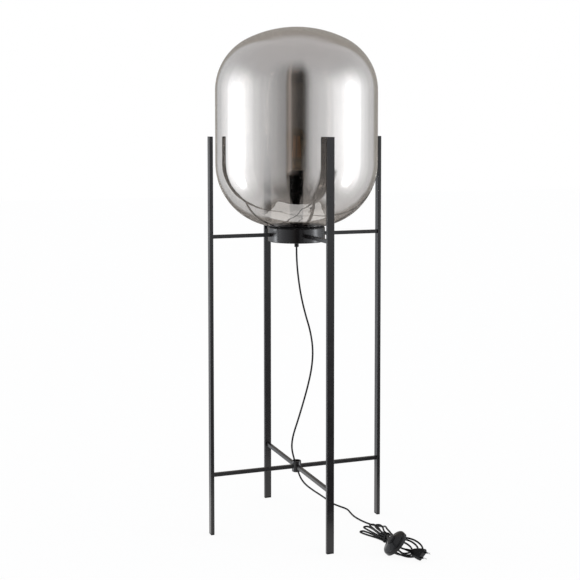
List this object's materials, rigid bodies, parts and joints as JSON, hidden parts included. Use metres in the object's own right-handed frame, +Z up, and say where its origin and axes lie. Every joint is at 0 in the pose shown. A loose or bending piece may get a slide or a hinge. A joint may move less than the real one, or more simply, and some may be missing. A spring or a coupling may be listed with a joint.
{
  "type": "globe floor lamp",
  "caption": "Tall floor lamp: a smoked glass globe on a black drum held by bars between slim steel legs, with a pear bulb, corded foot switch and mains plug.",
  "frame": {"origin": "on the floor at the middle of the four feet", "axes": "+Z up; -Y towards the front leg, +X towards the right leg"},
  "size_m": [0.51, 0.6572, 1.4],
  "materials": {
    "black_paint": "satin black powder coat",
    "end_plug": "matt black moulded plastic",
    "zinc_steel": "zinc plated",
    "black_plastic": "matt black moulded plastic",
    "switch_plastic": "semi-gloss black moulded plastic",
    "seal_rubber": "matt black",
    "brass": "bare brass",
    "smoked_glass": "clear polished grey-mauve tint",
    "cap_metal": "satin nickel",
    "cap_insulator": "black glassy insulator",
    "clear_glass": "clear with a faint amber tint",
    "filament": "amber phosphor coat",
    "support_wire": "bright drawn wire",
    "cord_sheath": "smooth black cable sheath",
    "core_insulation": "smooth wire insulation",
    "tie_plastic": "matt black",
    "plug_plastic": "matt black moulded plastic",
    "pin_metal": "bright nickel plate"
  },
  "bodies": {
    "frame": {"leg_front": "black_paint", "leg_right": "black_paint", "leg_back": "black_paint", "leg_left": "black_paint", "upper_bar_front": "black_paint", "upper_bar_right": "black_paint", "upper_bar_back": "black_paint", "upper_bar_left": "black_paint", "lower_bar_front": "black_paint", "lower_bar_right": "black_paint", "lower_bar_back": "black_paint", "lower_bar_left": "black_paint", "centre_hub": "black_paint", "drum": "black_paint", "riser_tube": "black_paint", "riser_base": "black_paint", "foot_front": "end_plug", "foot_right": "end_plug", "foot_back": "end_plug", "foot_left": "end_plug", "top_cap_front": "end_plug", "top_cap_right": "end_plug", "top_cap_back": "end_plug", "top_cap_left": "end_plug", "bar_plugs": "end_plug", "leg_inserts": "zinc_steel", "leg_studs": "zinc_steel", "hub_studs": "zinc_steel", "drum_screws": "zinc_steel", "threaded_nipple": "zinc_steel", "nipple_nuts": "zinc_steel", "cord_grip_screw": "zinc_steel", "terminal_screws": "zinc_steel", "cord_grip": "black_plastic", "holder_cap": "black_plastic", "holder_body": "black_plastic", "switch_base": "black_plastic", "switch_mechanism": "black_plastic", "switch_cover": "switch_plastic", "glass_gasket": "seal_rubber", "holder_shell": "brass", "holder_contact": "brass", "cord_to_switch": "cord_sheath", "cord_hank": "cord_sheath", "inner_lead": "cord_sheath", "switch_reliefs": "cord_sheath", "core_wires": "core_insulation", "cord_tie": "tie_plastic", "plug_body": "plug_plastic", "pin_sleeves": "plug_plastic", "plug_pins": "pin_metal"},
    "globe": {"glass_globe": "smoked_glass"},
    "bulb_base": {"bulb_cap": "cap_metal", "bulb_insulator": "cap_insulator", "bulb_contact": "cap_metal"},
    "bulb_glass": {"bulb_envelope": "clear_glass", "bulb_stem": "clear_glass", "bulb_supports": "support_wire", "bulb_filaments": "filament"},
    "button": {"switch_button": "switch_plastic"}
  },
  "joints": [
    {"name": "globe_lift", "type": "slide", "parent": "frame", "child": "globe", "axis": [0, 0, 1], "range_m": [0, 0.37]},
    {"name": "bulb_rise", "type": "slide", "parent": "frame", "child": "bulb_base", "axis": [0, 0, 1], "range_m": [0, 0.0218]},
    {"name": "bulb_turn", "type": "hinge", "parent": "bulb_base", "child": "bulb_glass", "pos_m": [0, 0, 1], "axis": [0, 0, 1], "range_deg": [0, 2160]},
    {"name": "button_press", "type": "slide", "parent": "frame", "child": "button", "axis": [0.6979, -0.147, -0.7009], "range_m": [0, 0.003], "stiffness_N_per_m": 800, "springref_m": -0.002}
  ],
  "couplings": [
    {"joint": "bulb_rise", "follows": "bulb_turn", "m_per_rad": 0.00057757}
  ]
}
